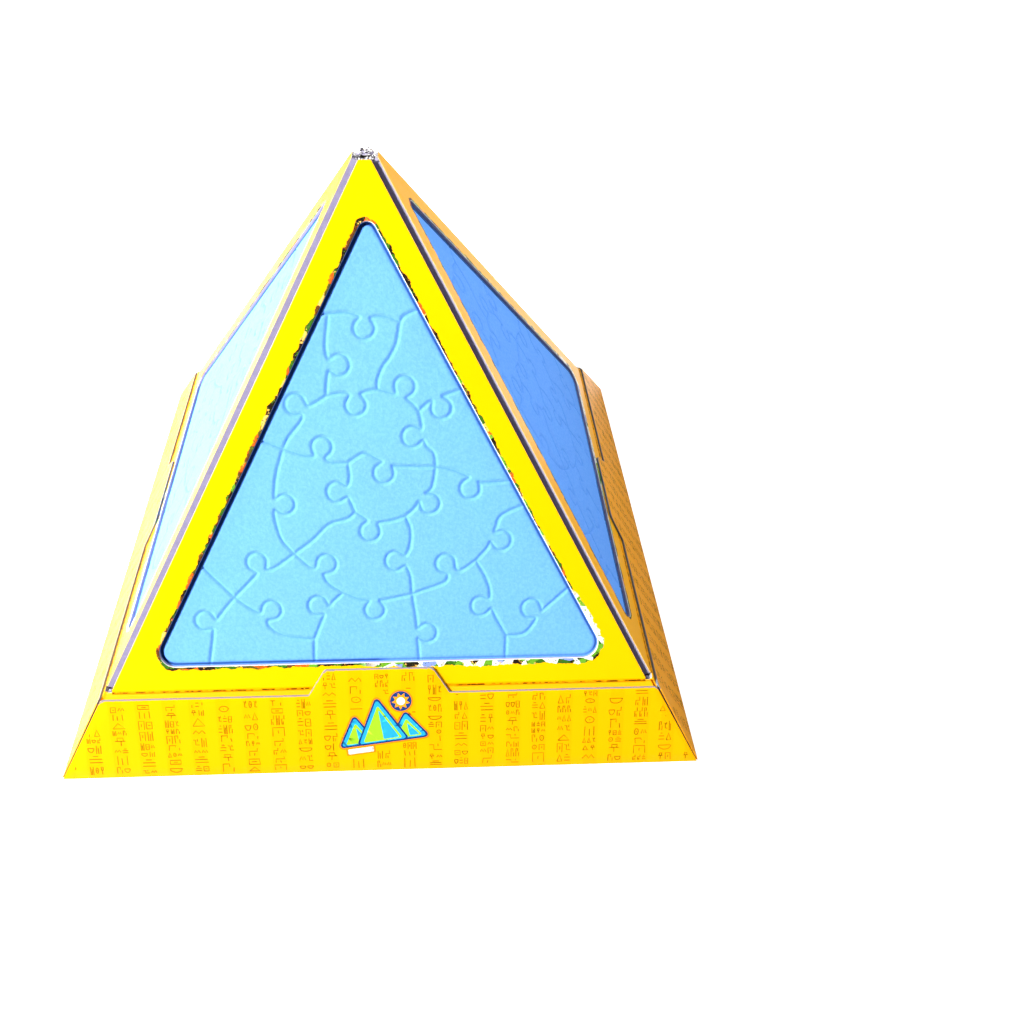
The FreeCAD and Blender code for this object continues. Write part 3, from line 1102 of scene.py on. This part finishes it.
def emblem_shapes():
    """(name, ink, layer above the card, corners, corner radius) of every patch."""
    shapes = []
    for order, (name, (x, half, height)) in enumerate(PEAKS.items()):
        layer = 2 + 4 * order
        shade = [(0.4, 0.5), (half - 2.2, 0.5), (0.0, height - 3.4)]
        patches = [
            ("glow", "halo_ink", 1 + 0.3 * order, pyramid(half, height, 1.9), 1.9),
            ("rim", "navy_ink", layer, pyramid(half, height, 1.2), 1.3),
            ("edge", "cyan_ink", layer + 1, pyramid(half, height, 0.5), 0.8),
            ("face", "lime_ink", layer + 2, pyramid(half - 1.0, height - 1.6), 0.5),
            ("shade", "cyan_ink", layer + 3, shade, 0.2),
        ]
        for patch, ink_name, level, corners, radius in patches:
            shapes.append((f"{name}_{patch}", ink_name, level, at(x, PEAK_FOOT, corners), radius))
    shapes += [
        ("sun_glow", "halo_ink", 1.9, at(*SUN, disc(5.0)), 0),
        ("sun_rim", "navy_ink", 3, at(*SUN, disc(4.3)), 0),
        ("sun_rays", "sun_ink", 4, at(*SUN, star(2.3, 3.7, SUN_RAYS)), 0),
        ("sun_disc", "white_ink", 5, at(*SUN, disc(1.7)), 0),
        ("banner_glow", "halo_ink", 1.95, at(*BANNER, slab(6, 1.7)), 0.6),
        ("banner", "white_ink", 3, at(*BANNER, slab(5.2, 1.1)), 0.4),
    ]
    return shapes


def beside_emblem(points):
    """True where a glyph would run into the emblem."""
    near = np.zeros(len(points), bool)
    for _, ink_name, _, corners, _ in emblem_shapes():
        if ink_name == "halo_ink":
            near |= signed_distance(points, np.array(corners)) < 0.6
    return near


# ---------------------------------------------------------------- building the object
# Each layer of a panel: piece, the part it stands for, slot, materials on top, on the edge and underneath.
PANEL_LAYERS = [
    ("face_print", "face_sheet", "yellow_print", ("frame_print", "paper_core", "paper_core")),
    ("frame_board_look", "frame_board", "grey_board", ("grey_board", "grey_board", "grey_board")),
    ("tray", "tray_sheet", "blue_paper", ("tray_paper", "grey_board", "grey_board")),
    ("backing_board_look", "backing_board", "grey_board", ("grey_board", "grey_board", "inner_board")),
]
POST_INNER = PANEL_HALF_LOW + 0.15
POST_OUTER = PANEL_HALF_LOW + 1.5
POST_LOW = CREASE_HEIGHT - 6
POST_HIGH = CREASE_HEIGHT - 0.3
CARD_EDGE_ROUND = 0.12


def materials(*names):
    return [MATERIALS[name] for name in names]


def nowhere(points):
    """False for every point, where there is no emblem to keep clear of."""
    return np.zeros(len(points), bool)


def build_side(side, seed, shared):
    """Panel, crease paper, skirt flap and printed marks of one side."""
    panel, flap = f"{side}_panel", f"{side}_flap"
    at_panel = hinge_frame(f"{side}_panel_hinge")
    at_flap = hinge_frame(f"{side}_flap_hinge")
    for name, part, slot, looks in PANEL_LAYERS:
        mesh = shared[name].copy()
        place_piece(f"{side}_{name}", mesh, at_panel, panel, materials(*looks), [f"{side}_{part}"])

    paper, looks = shared["crease"].copy(), materials("crease_print", "crease_print", "paper_core")
    crease = place_piece(f"{side}_crease_paper", paper, at_panel, None, looks)
    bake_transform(crease)

    fibres, looks = make_tip_fibres(seed), materials("torn_paper")
    place_piece(f"{side}_tip_fibres", fibres, at_panel, panel, looks)

    card, looks = shared["flap"].copy(), materials("skirt_print", "card_core", "inner_card")
    place_piece(f"{side}_flap_print", card, at_flap, flap, looks, [f"{side}_skirt_flap"])

    glyphs = make_glyphs(seed, beside_emblem if side == "front" else nowhere)
    place_piece(f"{side}_glyphs", glyphs, at_flap, flap, materials("glyph_ink"))


def build_emblem():
    """Thin printed patches, lying one over another on the front tongue."""
    at_flap = hinge_frame("front_flap_hinge")
    under = FLAP_CARD / 2 - INK_SUNK
    for name, ink_name, layer, corners, radius in emblem_shapes():
        outline = rounded(corners, [radius] * len(corners), 0.8)
        mesh = plate("emblem", [outline], FLAP_CARD / 2 + INK_LAYER * layer, under, spacing=3.0)
        place_piece(f"emblem_{name}", mesh, at_flap, "front_flap", materials(ink_name) * 3)


def build_corner_posts():
    """Folded board at the collar's inner corners, seen at the lower ends of the hips."""
    def top(points, edge):
        return POST_HIGH - round_over(edge, 0.3)

    a, b = POST_INNER, POST_OUTER
    outline = rounded([(a, a), (b, a), (b, b), (a, b)], [0.2] * 4, 0.3)
    for quarter, side in enumerate(SIDES):
        mesh = plate("post", [outline], top, POST_LOW, (0.1,), 0.3, wall_rows=6, rough=0.03)
        turn = Matrix.Rotation(math.radians(90 * quarter - 90), 4, "Z") @ Matrix.Scale(MM, 4)
        place_piece(f"{side}_corner_post", mesh, turn, "base", materials("grey_board") * 3)


def finish_plain_cards():
    """Soft edges and board materials for the collar and floor, which keep their CAD shapes."""
    looks = {"floor_card": "inner_card", "floor_board": "inner_board"}
    for side in SIDES:
        looks[f"{side}_collar_strip"] = "collar_print"
    for node, material in looks.items():
        piece = frame["nodes"][node]
        piece.data.materials.clear()
        piece.data.materials.append(MATERIALS[material])
        weld = piece.modifiers.new("weld", "WELD")
        weld.merge_threshold = 1e-6
        bevel = piece.modifiers.new("soft_edges", "BEVEL")
        bevel.width = CARD_EDGE_ROUND * MM
        bevel.segments = 2
        bevel.limit_method = "ANGLE"


def build_object():
    shared = {
        "face_print": make_face_print(),
        "frame_board_look": make_frame_board(),
        "tray": make_tray(),
        "backing_board_look": make_backing_board(),
        "crease": make_crease(),
        "flap": make_flap(),
    }
    for seed, side in enumerate(SIDES):
        build_side(side, seed, shared)
    build_emblem()
    build_corner_posts()
    finish_plain_cards()


# ---------------------------------------------------------------- floor, light and camera
TABLE_REACH = 3.0
# The camera sees a white table. The light it sends back is bright on the left and behind, dim elsewhere.
TABLE_WHITE = (0.95, 0.95, 0.95)
TABLE_GLOW = 0.65
TABLE_GLOW_FADE = (0.35, 1.0)
TABLE_BOUNCE = (0.30, 0.30, 0.30)
TABLE_BOUNCE_BRIGHT = (0.85, 0.85, 0.85)
BRIGHT_LEFT_FADE = (-0.05, -0.20)
BRIGHT_BEHIND_FADE = (0.02, 0.22)
SURROUND = 0.36
SURROUND_FRONT = 0.10
SURROUND_FADE = (-0.7, 0.2)
# Each softbox: name, direction from the object, distance, size, exposure at full spread, aim height, spread.
SOFTBOXES = [
    ("key", (-0.72, -0.38, 0.58), 2.00, 0.20, 2.62, 0.07, 180),
    ("left_wall", (-1.0, 0.15, 0.25), 0.80, 0.60, 2.6, 0.07, 180),
    ("fill", (0.90, 0.15, 0.50), 0.80, 0.30, 0.11, 0.17, 60),
]
LENS = 29.686
SENSOR_WIDTH = 36
LENS_SHIFT = (0.05315, 0.03434)
CAMERA_PLACE = (18.593, -302.781, 314.766)
CAMERA_TURN_DEG = (43.498, -0.818, -2.275)


def build_floor():
    """Seamless white table top, which glows a little more far away so that no horizon shows."""
    corners = [(x * TABLE_REACH, y * TABLE_REACH, 0) for x, y in ((-1, -1), (1, -1), (1, 1), (-1, 1))]
    mesh = new_mesh("table_top", corners, [(0, 1, 2, 3)])
    n = Nodes("table_white")
    direct = n.seen_directly()
    away = n.vector_math("LENGTH", n.place)
    glow = n.math("ADD", TABLE_GLOW, n.step(away, *TABLE_GLOW_FADE))
    n.feed(n.shader.inputs["Emission Color"], (1.0, 1.0, 1.0))
    n.feed(n.shader.inputs["Emission Strength"], n.math("MULTIPLY", direct, glow))
    axes = n.node("SeparateXYZ")
    n.link(n.place, axes.inputs[0])
    left = n.step(axes.outputs["X"], *BRIGHT_LEFT_FADE)
    behind = n.step(axes.outputs["Y"], *BRIGHT_BEHIND_FADE)
    bounce = n.mix(n.math("MAXIMUM", left, behind), TABLE_BOUNCE, TABLE_BOUNCE_BRIGHT)
    mesh.materials.append(n.finish(n.mix(direct, bounce, TABLE_WHITE), 0.8, 0.1))
    add_object("table_top", mesh)


def softbox(name, direction, distance_m, size_m, exposure, aim_height_m, spread_deg):
    """Square lamp facing the object that gives a white surface square to it this exposure."""
    data = bpy.data.lights.new(name, "AREA")
    data.shape = "SQUARE"
    data.size = size_m
    data.energy = exposure * math.pi ** 2 * distance_m ** 2
    data.spread = math.radians(spread_deg)
    lamp = add_object(name, data)
    toward = Vector(direction).normalized()
    lamp.location = Vector((0, 0, aim_height_m)) + toward * distance_m
    lamp.rotation_euler = toward.to_track_quat("Z", "Y").to_euler()


def build_light():
    """Strong key from the upper left, weaker boxes at both sides, and a surround that is dimmer in front."""
    world = bpy.data.worlds.new("studio")
    world.use_nodes = True
    nodes, links = world.node_tree.nodes, world.node_tree.links
    axes = nodes.new("ShaderNodeSeparateXYZ")
    links.new(nodes.new("ShaderNodeTexCoord").outputs["Generated"], axes.inputs["Vector"])
    surround = nodes.new("ShaderNodeMapRange")
    limits = (*SURROUND_FADE, SURROUND_FRONT, SURROUND)
    for name, value in zip(("From Min", "From Max", "To Min", "To Max"), limits):
        surround.inputs[name].default_value = value
    links.new(axes.outputs["Y"], surround.inputs["Value"])
    # The camera itself sees plain white.
    strength = nodes.new("ShaderNodeMapRange")
    links.new(nodes.new("ShaderNodeLightPath").outputs["Is Camera Ray"], strength.inputs["Value"])
    links.new(surround.outputs["Result"], strength.inputs["To Min"])
    links.new(strength.outputs["Result"], nodes["Background"].inputs["Strength"])
    nodes["Background"].inputs["Color"].default_value = (1.0, 1.0, 1.0, 1.0)
    bpy.context.scene.world = world
    for lamp in SOFTBOXES:
        softbox(*lamp)


def build_camera():
    data = bpy.data.cameras.new("camera")
    data.lens = LENS
    data.sensor_width = SENSOR_WIDTH
    data.shift_x, data.shift_y = LENS_SHIFT
    data.clip_start = 0.01
    camera = add_object("camera", data)
    camera.location = Vector(CAMERA_PLACE) * MM
    camera.rotation_euler = [math.radians(angle) for angle in CAMERA_TURN_DEG]
    bpy.context.scene.camera = camera
    bpy.context.scene.view_settings.view_transform = "Standard"


build_object()
build_floor()
build_light()
build_camera()

bpy.context.view_layer.update()
